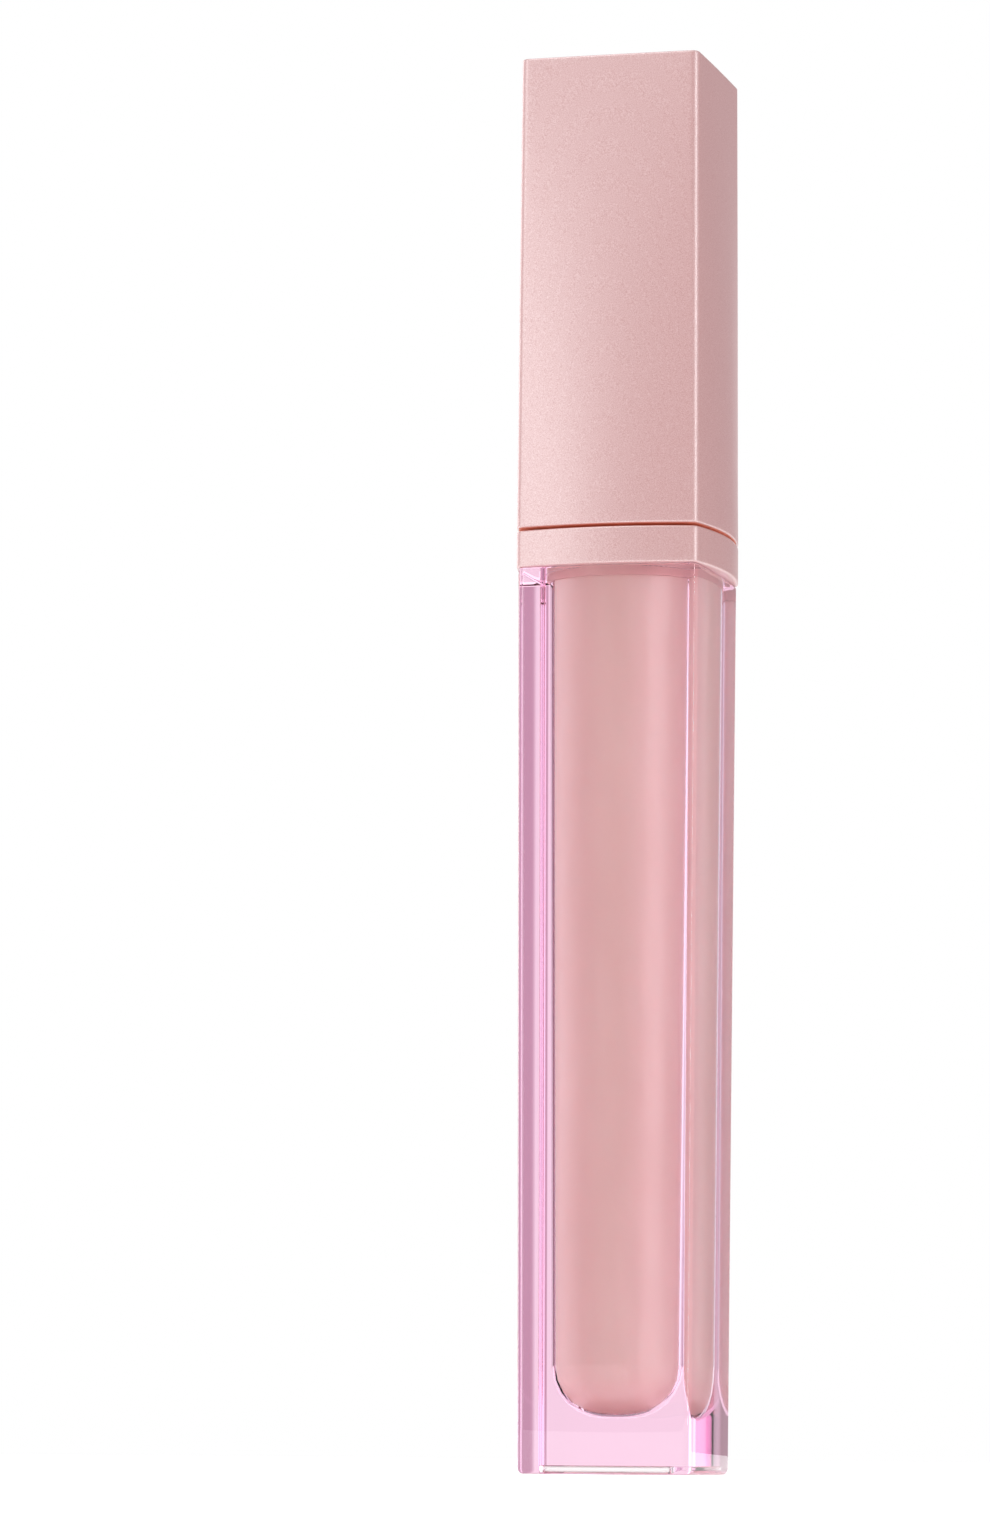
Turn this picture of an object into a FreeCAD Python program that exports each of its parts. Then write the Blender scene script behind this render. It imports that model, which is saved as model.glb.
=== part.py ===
import FreeCAD, Part
import Sketcher
import math
import os

# A square lip gloss tube, standing on its foot: millimetres, +Z up, origin at the
# middle of the foot. The clear base holds the gloss; the cap carries the wand and
# screws onto the neck. Every size lives in the sheet "Sizes".

SIZES = {
    "total_height": 120.0,
    # Plan sizes are from flat to flat at the corners; a pillow is how far the
    # middle of each side stands out past its corners.
    "mouth_width": 15.60,
    "mouth_pillow": 1.10,
    "cap_top_width": 15.53,
    "cap_top_pillow": 0.06,
    "foot_width": 14.80,
    "shoulder_width": 15.56,
    "base_pillow": 0.20,
    "corner_round": 0.70,
    "rim_bevel": 0.12,
    "fit_gap": 0.05,
    # Clear base and the gloss in it.
    "base_height": 76.10,
    "foot_bevel": 0.45,
    "cavity_floor": 4.70,
    "cavity_foot_rad": 5.42,
    "cavity_top_rad": 5.98,
    "cavity_floor_round": 4.30,
    "recess_width": 11.60,
    "recess_depth": 0.70,
    "recess_round": 0.80,
    "label_width": 11.00,
    "label_thick": 0.10,
    "seat_rad": 6.35,
    "seat_depth": 0.70,
    # Collar and neck.
    "collar_height": 3.15,
    "cap_gap": 0.25,
    "hub_rad": 5.45,
    "neck_rad": 4.90,
    "neck_bore_rad": 4.10,
    "neck_top": 91.50,
    "wiper_flange": 0.50,
    "wiper_inner_rad": 3.35,
    "wiper_mouth_rad": 2.42,
    "wiper_foot": 79.00,
    # Thread: one start, right-handed.
    "thread_pitch": 2.10,
    "thread_turns": 1.25,
    "thread_foot_width": 1.10,
    "thread_crest_width": 0.50,
    "thread_root_sink": 0.15,
    "male_crest_rad": 5.60,
    "male_thread_low": 82.20,
    "female_crest_rad": 5.10,
    # Cap.
    "cap_wall": 1.20,
    "cap_roof_low": 118.00,
    "cap_pocket_round": 0.50,
    "plate_recess_width": 14.70,
    "plate_width": 14.60,
    "plate_thick": 0.60,
    "plate_corner": 0.55,
    "plate_edge": 0.08,
    "pad_width": 13.80,
    "pad_thick": 0.15,
    "liner_low": 79.60,
    "liner_high": 117.60,
    "liner_bore_rad": 5.75,
    "liner_rad": 6.43,
    "liner_floor_low": 92.90,
    "liner_floor_thick": 1.20,
    "liner_flange_thick": 1.00,
    "rib_width": 1.20,
    "rib_reach": 8.00,
    "rib_low": 82.00,
    "rib_high": 116.00,
    "boss_rad": 2.60,
    "boss_low": 86.00,
    "disc_rad": 5.60,
    "disc_bore_rad": 2.95,
    "disc_thick": 0.80,
    "slug_rad": 5.50,
    "slug_low": 94.30,
    "slug_long": 18.00,
    "slug_chamfer": 0.50,
    # Wand.
    "rod_rad": 1.70,
    "rod_low": 20.00,
    "rod_stop_rad": 2.20,
    "rod_stop_thick": 0.70,
    "rod_socket_deep": 6.40,
    "rod_spigot_rad": 1.00,
    "rod_spigot_long": 4.00,
    "tip_low": 8.75,
    "tip_high": 19.90,
    "tip_rad": 1.95,
    "flock_thick": 0.25,
    "slant_rise": 9.00,
    "slant_angle": 17.0,
    "wand_channel_rad": 2.60,
    "wand_channel_floor": 8.10,
    "gloss_top_gap": 0.10,
}

# How far a cutting profile runs past the face it leaves, and how near two lengths
# must be to count as equal when edges are picked.
OVERRUN = 1.0
NEAR = 0.01

doc = FreeCAD.newDocument("LipGlossTube")


class Size:
    """A number together with the sheet expression that it comes from."""

    def __init__(self, value, text):
        self.value = value
        self.text = text

    def __add__(self, other):
        other = as_size(other)
        return Size(self.value + other.value, f"({self.text} + {other.text})")

    def __sub__(self, other):
        other = as_size(other)
        return Size(self.value - other.value, f"({self.text} - {other.text})")

    def __mul__(self, other):
        other = as_size(other)
        return Size(self.value * other.value, f"({self.text} * {other.text})")

    def __truediv__(self, other):
        other = as_size(other)
        return Size(self.value / other.value, f"({self.text} / {other.text})")


def as_size(number):
    return number if isinstance(number, Size) else Size(number, str(number))


def make_sheet():
    """Fill the sheet: name in column A, plain number with its alias in column B."""
    sheet = doc.addObject("Spreadsheet::Sheet", "Sizes")
    for row, (alias, value) in enumerate(SIZES.items(), start=1):
        sheet.set(f"A{row}", alias)
        sheet.set(f"B{row}", str(value))
        sheet.setAlias(f"B{row}", alias)
    doc.recompute()


def size(alias):
    return Size(SIZES[alias], f"Sizes.{alias}")


def bind(thing, prop, value):
    thing.setExpression(prop, as_size(value).text)


# ---------------------------------------------------------------- sketches

def plane(body, role):
    return next(f for f in body.Origin.OriginFeatures if f.Role == role)


def new_body(name):
    body = doc.addObject("PartDesign::Body", name)
    body.Label = name
    return body


def new_sketch(body, name, role, height=None):
    """A sketch on one of the body's origin planes, lifted along its normal."""
    sketch = body.newObject("Sketcher::SketchObject", name)
    sketch.AttachmentSupport = [(plane(body, role), "")]
    sketch.MapMode = "FlatFace"
    if height is not None:
        bind(sketch, "AttachmentOffset.Base.z", height)
        sketch.AttachmentOffset.Base = FreeCAD.Vector(0, 0, height.value)
    return sketch


def dimension(sketch, kind, where, value):
    """Add one driving dimension and bind it to the sheet."""
    index = sketch.addConstraint(Sketcher.Constraint(kind, *where, value.value))
    bind(sketch, f"Constraints[{index}]", value)


def draw_outline(sketch, corners):
    """A closed outline through corners (x, y), each one placed by two dimensions."""
    points = [FreeCAD.Vector(x.value, y.value, 0) for x, y in corners]
    count = len(points)
    for i in range(count):
        sketch.addGeometry(Part.LineSegment(points[i], points[(i + 1) % count]))
    for i in range(count):
        following = (i + 1) % count
        sketch.addConstraint(Sketcher.Constraint("Coincident", i, 2, following, 1))
    for i, (x, y) in enumerate(corners):
        if x.value == 0:
            sketch.addConstraint(Sketcher.Constraint("PointOnObject", i, 1, -2))
        else:
            dimension(sketch, "DistanceX", (-1, 1, i, 1), x)
        dimension(sketch, "DistanceY", (-1, 1, i, 1), y)


def draw_pillow_square(sketch, width, pillow, corner):
    """A square with bowed sides and round corners, as eight tangent arcs.

    The width is from flat to flat where two sides would meet; the pillow is how far
    the middle of a side stands out past that. Even arcs are sides, odd ones corners.
    """
    half = width / 2
    bow = (half * half + pillow * pillow) / (pillow * 2)
    back = half + pillow - bow
    reach = bow.value - corner.value
    centre = back.value
    middle = (centre + math.sqrt(2 * reach**2 - centre**2)) / 2
    touch = FreeCAD.Vector(
        centre + bow.value * (middle - centre) / reach, bow.value * middle / reach, 0
    )
    touch_below = FreeCAD.Vector(touch.x, -touch.y, 0)
    touch_across = FreeCAD.Vector(touch.y, touch.x, 0)
    side_peak = FreeCAD.Vector(half.value + pillow.value, 0, 0)
    diagonal = middle + corner.value / math.sqrt(2)
    corner_peak = FreeCAD.Vector(diagonal, diagonal, 0)
    for i in range(4):
        turn = FreeCAD.Rotation(FreeCAD.Vector(0, 0, 1), 90 * i)
        for arc in ((touch_below, side_peak, touch), (touch, corner_peak, touch_across)):
            sketch.addGeometry(Part.Arc(*[turn.multVec(point) for point in arc]))
    for i in range(8):
        sketch.addConstraint(Sketcher.Constraint("Tangent", i, 2, (i + 1) % 8, 1))
    for i in range(2, 8):
        sketch.addConstraint(Sketcher.Constraint("Equal", i % 2, i))
    placed = [(0, "DistanceX", -1, 1), (2, "DistanceY", -2, 1)]
    placed += [(4, "DistanceX", -1, -1), (6, "DistanceY", -2, -1)]
    for side, kind, axis, sign in placed:
        sketch.addConstraint(Sketcher.Constraint("PointOnObject", side, 3, axis))
        dimension(sketch, kind, (-1, 1, side, 3), back * sign)
    dimension(sketch, "Radius", (0,), bow)
    dimension(sketch, "Radius", (1,), corner)


def draw_square(sketch, width):
    half = width / 2
    low = half * -1
    draw_outline(sketch, [(half, low), (half, half), (low, half), (low, low)])


# ---------------------------------------------------------------- features

def turned(body, name, profile, cut=False):
    """Revolve a profile of (radius, height) corners about Z, to add or to cut."""
    sketch = new_sketch(body, f"{name}Sketch", "XZ_Plane")
    draw_outline(sketch, [(as_size(r), as_size(z)) for r, z in profile])
    kind = "PartDesign::Groove" if cut else "PartDesign::Revolution"
    before = body.Shape.Volume if cut else 0
    feature = body.newObject(kind, name)
    feature.Profile = sketch
    feature.ReferenceAxis = (sketch, ["V_Axis"])
    feature.Angle = 360
    doc.recompute()
    if cut:
        expect_less(body, before, name)
    return feature


def pillow_block(body, name, low, high, low_bevel, high_bevel):
    """A bevelled block between two pillow squares, each (height, width, pillow)."""
    sections = []
    for (height, width, pillow), bevel, inward in ((low, low_bevel, 1), (high, high_bevel, -1)):
        outline = (size("corner_round"), width, pillow)
        narrow = (size("corner_round") - bevel, width - bevel * 2, pillow)
        pair = [(height, narrow), (height + bevel * inward, outline)]
        sections += pair if inward == 1 else pair[::-1]
    sketches = []
    for number, (height, (corner, width, pillow)) in enumerate(sections):
        sketch = new_sketch(body, f"{name}Section{number}", "XY_Plane", height)
        draw_pillow_square(sketch, width, pillow, corner)
        sketches.append(sketch)
    doc.recompute()
    loft = body.newObject("PartDesign::AdditiveLoft", name)
    loft.Profile = sketches[0]
    loft.Sections = sketches[1:]
    loft.Ruled = True
    doc.recompute()
    return loft


def edges_where(shape, test):
    """Names of the edges whose bounding box passes the test."""
    return [f"Edge{i}" for i, edge in enumerate(shape.Edges, 1) if test(edge.BoundBox)]


def rim_at(height):
    """A test for edges that lie flat at this height."""
    return lambda box: abs(box.ZMin - height) < NEAR and abs(box.ZMax - height) < NEAR


def corner_at(half):
    """A test for edges at the corners of a square that reaches half each way."""

    def test(box):
        beside = abs(abs(box.Center.x) - half) < NEAR
        return beside and abs(abs(box.Center.y) - half) < NEAR

    return test


def rounded(body, name, test, radius):
    """Round the edges of the body's present shape that pass the test."""
    base = body.Tip
    fillet = body.newObject("PartDesign::Fillet", name)
    fillet.Base = (base, edges_where(base.Shape, test))
    bind(fillet, "Radius", radius)
    doc.recompute()
    return fillet


def square_pocket(body, name, width, low, depth, corner):
    """Cut a square hole of this depth upward from the height low."""
    before = body.Shape.Volume
    sketch = new_sketch(body, f"{name}Sketch", "XY_Plane", as_size(low))
    draw_square(sketch, width)
    pocket = body.newObject("PartDesign::Pocket", name)
    pocket.Profile = sketch
    pocket.Reversed = True
    bind(pocket, "Length", depth)
    doc.recompute()
    expect_less(body, before, name)
    return rounded(body, f"{name}Corners", corner_at(width.value / 2), corner)


def square_tile(name, width, low, thick, corner):
    """A flat square tile with rounded corners, resting at the height low."""
    body = new_body(name)
    sketch = new_sketch(body, f"{name}Sketch", "XY_Plane", as_size(low))
    draw_square(sketch, width)
    pad = body.newObject("PartDesign::Pad", f"{name}Pad")
    pad.Profile = sketch
    bind(pad, "Length", thick)
    doc.recompute()
    rounded(body, f"{name}Corners", corner_at(width.value / 2), corner)
    return body


def thread(body, name, root, crest, low):
    """Wind a trapezoid ridge from root radius to crest radius, starting at low."""
    half_foot = size("thread_foot_width") / 2
    half_crest = size("thread_crest_width") / 2
    sketch = new_sketch(body, f"{name}Sketch", "XZ_Plane")
    ridge = [
        (root, low - half_foot),
        (crest, low - half_crest),
        (crest, low + half_crest),
        (root, low + half_foot),
    ]
    draw_outline(sketch, ridge)
    before = body.Shape.Volume
    helix = body.newObject("PartDesign::AdditiveHelix", name)
    helix.Profile = sketch
    helix.ReferenceAxis = (sketch, ["V_Axis"])
    helix.Mode = "pitch-turns-angle"
    bind(helix, "Pitch", size("thread_pitch"))
    bind(helix, "Turns", size("thread_turns"))
    doc.recompute()
    if body.Shape.Volume <= before:
        raise RuntimeError(f"{name} added nothing")
    return helix


def expect_less(body, before, name):
    if body.Shape.Volume >= before:
        raise RuntimeError(f"{name} cut nothing")


# ---------------------------------------------------------------- bottle

def make_base_shell():
    """The thick clear base: square outside, round drafted cavity, recessed foot."""
    body = new_body("base_shell")
    height = size("base_height")
    pillow = size("base_pillow")
    low = (as_size(0), size("foot_width"), pillow)
    high = (height, size("shoulder_width"), pillow)
    pillow_block(body, "Block", low, high, size("foot_bevel"), size("rim_bevel"))

    floor = size("cavity_floor")
    seat = height - size("seat_depth")
    cavity = [
        (0, floor),
        (size("cavity_foot_rad"), floor),
        (size("cavity_top_rad"), seat),
        (size("seat_rad"), seat),
        (size("seat_rad"), height + OVERRUN),
        (0, height + OVERRUN),
    ]
    turned(body, "Cavity", cavity, cut=True)
    rounded(body, "CavityFloor", rim_at(floor.value), size("cavity_floor_round"))
    recess = size("recess_width")
    square_pocket(body, "FootRecess", recess, 0, size("recess_depth"), size("recess_round"))
    return body


def make_gloss():
    """The gloss fills the cavity; a round channel leaves room for the wand."""
    body = new_body("gloss_fill")
    clear = size("fit_gap")
    floor = size("cavity_floor") + clear
    top = size("base_height") - size("seat_depth") - size("gloss_top_gap")
    fill = [
        (0, floor),
        (size("cavity_foot_rad") - clear, floor),
        (size("cavity_top_rad") - clear, top),
        (0, top),
    ]
    turned(body, "Fill", fill)
    rounded(body, "FillFloor", rim_at(floor.value), size("cavity_floor_round") - clear)
    channel = size("wand_channel_rad")
    low = size("wand_channel_floor")
    high = top + OVERRUN
    well = [(0, low), (channel, low), (channel, high), (0, high)]
    turned(body, "WandChannel", well, cut=True)
    return body


def make_base_label():
    """A blank paper sticker on the roof of the foot recess."""
    thick = size("label_thick")
    low = size("recess_depth") - thick
    return square_tile("base_label", size("label_width"), low, thick, size("recess_round"))


def make_neck():
    """The threaded neck: its flange is welded into the seat at the base's mouth."""
    body = new_body("neck_insert")
    clear = size("fit_gap")
    seat = size("base_height") - size("seat_depth")
    deck = size("base_height")
    hub_top = deck + size("collar_height")
    bore = size("neck_bore_rad")
    neck = [
        (bore, seat),
        (size("seat_rad") - clear, seat),
        (size("seat_rad") - clear, deck),
        (size("hub_rad"), deck),
        (size("hub_rad"), hub_top),
        (size("neck_rad"), hub_top),
        (size("neck_rad"), size("neck_top")),
        (bore, size("neck_top")),
    ]
    turned(body, "Neck", neck)
    sunk_root = size("neck_rad") - size("thread_root_sink")
    thread(body, "MaleThread", sunk_root, size("male_crest_rad"), size("male_thread_low"))
    return body


def make_collar():
    """The painted square collar that hides the joint between base and neck."""
    body = new_body("collar")
    low = size("base_height")
    high = low + size("collar_height")
    pillow = size("mouth_pillow")
    width = size("mouth_width")
    bevel = size("rim_bevel")
    pillow_block(body, "Ring", (low, width, pillow), (high, width, pillow), bevel, bevel)
    hole = size("hub_rad") + size("fit_gap")
    start = low - OVERRUN
    end = high + OVERRUN
    turned(body, "HubHole", [(0, start), (hole, start), (hole, end), (0, end)], cut=True)
    return body


def make_wiper():
    """The soft wiper in the neck: a sleeve that narrows to a lip round the rod."""
    body = new_body("wiper")
    outer = size("neck_bore_rad") - size("fit_gap")
    inner = size("wiper_inner_rad")
    mouth = size("wiper_mouth_rad")
    wall = outer - inner
    low = size("wiper_foot")
    top = size("neck_top")
    cone = inner - mouth
    sleeve = [
        (mouth, low),
        (mouth + wall, low),
        (outer, low + cone + wall),
        (outer, top),
        (size("neck_rad"), top),
        (size("neck_rad"), top + size("wiper_flange")),
        (inner, top + size("wiper_flange")),
        (inner, low + cone + wall * 2),
        (mouth, low + wall),
    ]
    turned(body, "Sleeve", sleeve)
    return body


# ---------------------------------------------------------------- cap

def make_cap_shell():
    """The painted cap: flat-sided at the top, pillowed towards its mouth."""
    body = new_body("cap_shell")
    low = size("base_height") + size("collar_height") + size("cap_gap")
    high = size("total_height")
    mouth = (low, size("mouth_width"), size("mouth_pillow"))
    top = (high, size("cap_top_width"), size("cap_top_pillow"))
    pillow_block(body, "Cover", mouth, top, size("rim_bevel"), size("rim_bevel"))
    inside = size("mouth_width") - size("cap_wall") * 2
    roof = size("cap_roof_low")
    square_pocket(body, "Inside", inside, low, roof - low, size("cap_pocket_round"))
    recess = size("plate_thick") + size("pad_thick")
    width = size("plate_recess_width")
    square_pocket(body, "PlateRecess", width, high - recess, recess, size("plate_corner"))
    return body


def make_cap_liner():
    """The hidden liner: female thread below, rod socket, and a cup for the weight."""
    body = new_body("cap_liner")
    bore = size("liner_bore_rad")
    outer = size("liner_rad")
    boss = size("boss_rad")
    socket = size("rod_rad")
    floor_low = size("liner_floor_low")
    floor_high = floor_low + size("liner_floor_thick")
    socket_top = size("boss_low") + size("rod_socket_deep")
    liner = [
        (0, socket_top),
        (socket, socket_top),
        (socket, size("boss_low")),
        (boss, size("boss_low")),
        (boss, floor_low),
        (bore, floor_low),
        (bore, size("liner_low")),
        (outer, size("liner_low")),
        (outer, size("liner_high")),
        (bore, size("liner_high")),
        (bore, floor_high),
        (0, floor_high),
    ]
    turned(body, "Liner", liner)
    sunk_root = bore + size("thread_root_sink")
    low = size("male_thread_low") - size("thread_pitch") / 2
    thread(body, "FemaleThread", sunk_root, size("female_crest_rad"), low)
    add_flange(body)
    add_ribs(body)
    return body


def add_flange(body):
    """A square flange at the liner's mouth closes the corners of the cap."""
    width = size("mouth_width") - size("cap_wall") * 2 - size("fit_gap") * 2
    sketch = new_sketch(body, "FlangeSketch", "XY_Plane", size("liner_low"))
    draw_square(sketch, width)
    bore = size("liner_bore_rad") + size("fit_gap")
    circle = Part.Circle(FreeCAD.Vector(0, 0, 0), FreeCAD.Vector(0, 0, 1), bore.value)
    hole = sketch.addGeometry(circle)
    sketch.addConstraint(Sketcher.Constraint("Coincident", hole, 3, -1, 1))
    dimension(sketch, "Radius", (hole,), bore)
    flange = body.newObject("PartDesign::Pad", "Flange")
    flange.Profile = sketch
    bind(flange, "Length", size("liner_flange_thick"))
    doc.recompute()
    rounded(body, "FlangeCorners", corner_at(width.value / 2), size("cap_pocket_round"))


def add_ribs(body):
    """One rib on each diagonal keeps the liner from turning in the square cap."""
    sketch = new_sketch(body, "RibSketch", "XY_Plane", size("rib_low"))
    inner = size("liner_rad") - size("thread_root_sink")
    half = size("rib_width") / 2
    draw_outline(
        sketch,
        [
            (inner, half * -1),
            (size("rib_reach"), half * -1),
            (size("rib_reach"), half),
            (inner, half),
        ],
    )
    sketch.AttachmentOffset = FreeCAD.Placement(
        sketch.AttachmentOffset.Base, FreeCAD.Rotation(FreeCAD.Vector(0, 0, 1), 45)
    )
    rib = body.newObject("PartDesign::Pad", "Rib")
    rib.Profile = sketch
    bind(rib, "Length", size("rib_high") - size("rib_low"))
    doc.recompute()
    ribs = body.newObject("PartDesign::PolarPattern", "Ribs")
    ribs.Originals = [rib]
    ribs.Axis = (plane(body, "Z_Axis"), [""])
    ribs.Angle = 360
    ribs.Occurrences = 4
    body.Tip = ribs
    doc.recompute()


def make_top_plate():
    """The metal plate let into the cap's top, flush with its rim."""
    thick = size("plate_thick")
    low = size("total_height") - thick
    body = square_tile("top_plate", size("plate_width"), low, thick, size("plate_corner"))
    top = rim_at(SIZES["total_height"])
    bevel = body.newObject("PartDesign::Chamfer", "PlateBevel")
    bevel.Base = (doc.getObject("top_plateCorners"), edges_where(body.Shape, top))
    bind(bevel, "Size", size("plate_edge"))
    doc.recompute()
    return body


def make_plate_pad():
    """The adhesive pad under the plate."""
    thick = size("pad_thick")
    low = size("total_height") - size("plate_thick") - thick
    return square_tile("plate_pad", size("pad_width"), low, thick, size("plate_corner"))


def make_cap_weight():
    """A steel slug in the liner's cup gives the cap its heft."""
    body = new_body("cap_weight")
    low = size("slug_low")
    high = low + size("slug_long")
    rad = size("slug_rad")
    turned(body, "Slug", [(0, low), (rad, low), (rad, high), (0, high)])
    bevel = body.newObject("PartDesign::Chamfer", "SlugBevel")
    base = doc.getObject("Slug")
    ends = edges_where(base.Shape, rim_at(low.value)) + edges_where(base.Shape, rim_at(high.value))
    bevel.Base = (base, ends)
    bind(bevel, "Size", size("slug_chamfer"))
    doc.recompute()
    return body


def make_seal_disc():
    """A loose washer, caught above the female thread, that seals on the neck."""
    body = new_body("seal_disc")
    low = size("neck_top") + size("wiper_flange") + size("fit_gap")
    high = low + size("disc_thick")
    bore = size("disc_bore_rad")
    rad = size("disc_rad")
    turned(body, "Disc", [(bore, low), (rad, low), (rad, high), (bore, high)])
    return body


# ---------------------------------------------------------------- wand

def make_wand_rod():
    """The rod: plugged into the liner above, with a spigot for the tip below."""
    body = new_body("wand_rod")
    clear = size("fit_gap")
    top = size("boss_low") + size("rod_socket_deep") - clear
    stop = size("boss_low") - clear
    stop_low = stop - size("rod_stop_thick")
    rod = size("rod_rad")
    plug = rod - clear
    spigot = size("rod_spigot_rad")
    low = size("rod_low")
    spigot_low = low - size("rod_spigot_long")
    profile = [
        (0, spigot_low),
        (spigot, spigot_low),
        (spigot, low),
        (rod, low),
        (rod, stop_low),
        (size("rod_stop_rad"), stop_low),
        (size("rod_stop_rad"), stop),
        (plug, stop),
        (plug, top),
        (0, top),
    ]
    turned(body, "Rod", profile)
    return body


def doe_foot(name, grow):
    """A round-ended plug whose front is sliced off on a slant, grown by grow."""
    low = size("tip_low") - grow
    high = size("tip_high")
    rad = size("tip_rad") + grow
    barrel = doc.addObject("Part::Cylinder", f"{name}Barrel")
    bind(barrel, "Radius", rad)
    bind(barrel, "Height", high - low - rad)
    bind(barrel, "Placement.Base.z", low + rad)
    nose = doc.addObject("Part::Sphere", f"{name}Nose")
    bind(nose, "Radius", rad)
    bind(nose, "Placement.Base.z", low + rad)
    plug = doc.addObject("Part::Fuse", f"{name}Plug")
    plug.Base = barrel
    plug.Tool = nose
    slicer = doc.addObject("Part::Box", f"{name}Slicer")
    reach = size("tip_rad") * 4
    bind(slicer, "Length", reach)
    bind(slicer, "Width", reach)
    bind(slicer, "Height", size("slant_rise") * 2)
    tilt = FreeCAD.Rotation(FreeCAD.Vector(1, 0, 0), SIZES["slant_angle"])
    hinge = FreeCAD.Vector(0, -SIZES["tip_rad"], SIZES["tip_low"] + SIZES["slant_rise"])
    offset = as_size(grow).value
    slicer.Placement = FreeCAD.Placement(hinge, tilt) * FreeCAD.Placement(
        FreeCAD.Vector(-reach.value / 2, -reach.value - offset, -SIZES["slant_rise"] * 2),
        FreeCAD.Rotation(),
    )
    foot = doc.addObject("Part::Cut", name)
    foot.Base = plug
    foot.Tool = slicer
    return foot


def make_tip():
    """The soft doe-foot tip, and the flocked cover over it."""
    socket = doc.addObject("Part::Cylinder", "TipSocket")
    low = size("rod_low") - size("rod_spigot_long") - size("fit_gap")
    bind(socket, "Radius", size("rod_spigot_rad") + size("fit_gap") / 2)
    bind(socket, "Height", size("rod_low") - low)
    bind(socket, "Placement.Base.z", low)
    core = doc.addObject("Part::Cut", "tip_core")
    core.Label = "tip_core"
    core.Base = doe_foot("TipFoot", 0)
    core.Tool = socket
    flock = doc.addObject("Part::Cut", "tip_flock")
    flock.Label = "tip_flock"
    flock.Base = doe_foot("FlockFoot", size("flock_thick"))
    flock.Tool = doe_foot("FlockHollow", 0)
    doc.recompute()
    return core, flock


# ---------------------------------------------------------------- check and write

def check(pieces):
    doc.recompute()
    for thing in doc.Objects:
        if {"Invalid", "Error"} & set(thing.State):
            raise RuntimeError(f"{thing.Name} failed: {thing.State}")
    for piece in pieces:
        shape = piece.Shape
        if shape.isNull() or not shape.isValid() or shape.Volume <= 0:
            raise RuntimeError(f"{piece.Label} has no valid solid")
        if len(shape.Solids) != 1:
            raise RuntimeError(f"{piece.Label} has {len(shape.Solids)} solids")


def main():
    make_sheet()
    core, flock = make_tip()
    pieces = [
        make_base_shell(),
        make_gloss(),
        make_base_label(),
        make_neck(),
        make_collar(),
        make_wiper(),
        make_cap_shell(),
        make_cap_liner(),
        make_top_plate(),
        make_plate_pad(),
        make_cap_weight(),
        make_seal_disc(),
        make_wand_rod(),
        core,
        flock,
    ]
    check(pieces)
    os.makedirs("parts", exist_ok=True)
    for piece in pieces:
        piece.Shape.exportStep(f"parts/{piece.Label}.step")
        print(f"{piece.Label}: {piece.Shape.Volume:.1f} mm3")


main()
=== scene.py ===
import math
import random

import bmesh
import bpy
from mathutils import Matrix, Vector
from mathutils.bvhtree import BVHTree


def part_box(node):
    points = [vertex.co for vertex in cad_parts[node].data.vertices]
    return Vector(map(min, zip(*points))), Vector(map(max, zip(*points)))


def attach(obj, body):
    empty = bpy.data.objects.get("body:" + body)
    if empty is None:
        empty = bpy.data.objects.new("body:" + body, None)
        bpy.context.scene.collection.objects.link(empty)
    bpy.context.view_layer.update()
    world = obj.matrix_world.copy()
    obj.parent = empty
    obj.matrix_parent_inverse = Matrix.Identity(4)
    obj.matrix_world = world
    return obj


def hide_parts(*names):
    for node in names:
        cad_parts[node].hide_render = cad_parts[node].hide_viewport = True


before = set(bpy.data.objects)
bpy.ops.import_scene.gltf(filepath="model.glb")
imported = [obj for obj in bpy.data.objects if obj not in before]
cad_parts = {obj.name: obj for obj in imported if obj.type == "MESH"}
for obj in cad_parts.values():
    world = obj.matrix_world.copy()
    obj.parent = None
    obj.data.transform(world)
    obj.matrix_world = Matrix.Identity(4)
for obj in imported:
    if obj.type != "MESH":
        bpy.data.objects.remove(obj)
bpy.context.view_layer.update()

# A square lip gloss tube on a white studio floor. Lengths are written in millimetres
# and turned into metres by MM where a mesh, light or camera is made.
MM = 0.001

BASE_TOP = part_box("base_shell")[1][2] / MM
COLLAR_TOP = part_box("collar")[1][2] / MM
CAP_LOW, CAP_TOP = (corner[2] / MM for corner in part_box("cap_shell"))
PLATE_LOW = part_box("top_plate")[0][2] / MM

# Plan sizes are from flat to flat at the corners; a pillow is how far the middle of
# a side stands out past them.
MOUTH_WIDTH = 15.60
MOUTH_PILLOW = 1.10
CAP_TOP_WIDTH = 15.53
CAP_TOP_PILLOW = 0.06
FOOT_WIDTH = 14.80
SHOULDER_WIDTH = 15.56
BASE_PILLOW = 0.20
CORNER_ROUND = 0.70
RIM_ROUND = 0.18
FOOT_ROUND = 0.45

CAVITY_FLOOR = 4.70
CAVITY_FOOT_RADIUS = 5.42
CAVITY_TOP_RADIUS = 5.98
CAVITY_FLOOR_ROUND = 4.30
# The neck's flange is bonded into its seat, so the clear wall grips it.
SEAT_RADIUS = 6.29
SEAT_FLOOR = 75.41
SEAT_RIM_ROUND = 0.03
RECESS_WIDTH = 11.60
RECESS_DEPTH = 0.70
RECESS_ROUND = 0.80
RECESS_EDGE_ROUND = 0.08
GLOSS_GRIP = 0.02
# Painted parts rest on the clear base with a little air between, so the base's inside
# still mirrors there.
AIR_FILM = 0.03

HUB_HOLE_RADIUS = 5.50
CAP_INSIDE_WIDTH = 13.20
CAP_INSIDE_ROUND = 0.50
CAP_ROOF = 118.00
PLATE_RECESS_WIDTH = 14.70
PLATE_RECESS_FLOOR = 119.25
PLATE_WIDTH = 14.60
PLATE_CORNER = 0.55
PLATE_EDGE_ROUND = 0.10
PLATE_FOOT_ROUND = 0.03

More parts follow.
